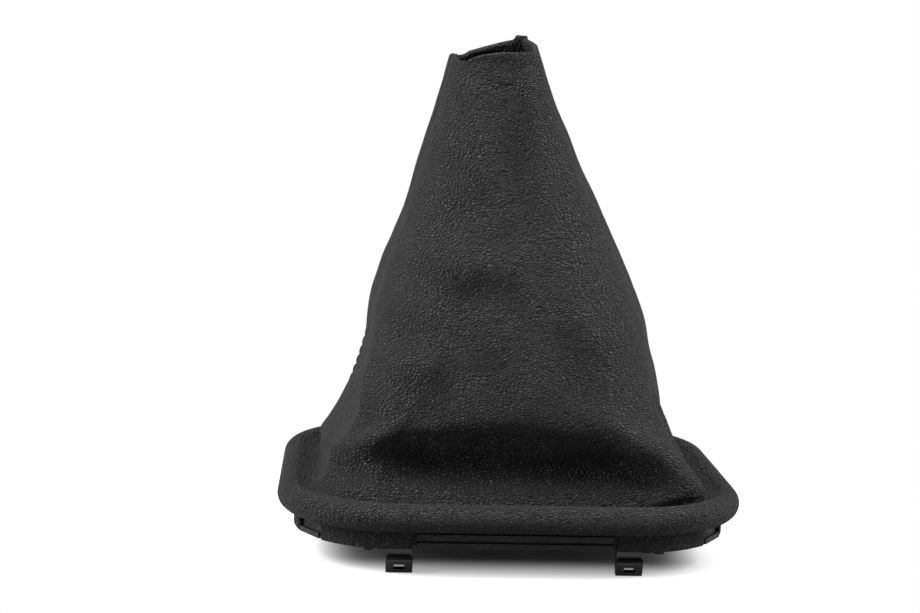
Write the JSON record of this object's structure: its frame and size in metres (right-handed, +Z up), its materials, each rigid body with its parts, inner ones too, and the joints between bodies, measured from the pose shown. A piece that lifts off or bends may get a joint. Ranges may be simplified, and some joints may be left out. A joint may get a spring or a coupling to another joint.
{
  "type": "gear lever gaiter",
  "caption": "Black leather gear lever gaiter with a rolled rim on a moulded frame that snaps into a console with clips.",
  "frame": {"origin": "centre of the footprint at the clip tips", "axes": "+Z up towards the mouth, -Y towards the front that the picture shows, +X to its right"},
  "size_m": [0.1494, 0.1356, 0.1638],
  "materials": {
    "leather": "pebbled satin",
    "frame_plastic": "matte",
    "clip_plastic": "gloss",
    "thread": "twisted"
  },
  "bodies": {
    "root": {"frame": "frame_plastic", "front_panel": "leather", "rear_panel": "leather", "left_seam_thread": "thread", "right_seam_thread": "thread", "front_left_clip": "clip_plastic", "front_right_clip": "clip_plastic", "rear_left_clip": "clip_plastic", "rear_right_clip": "clip_plastic"}
  },
  "joints": []
}
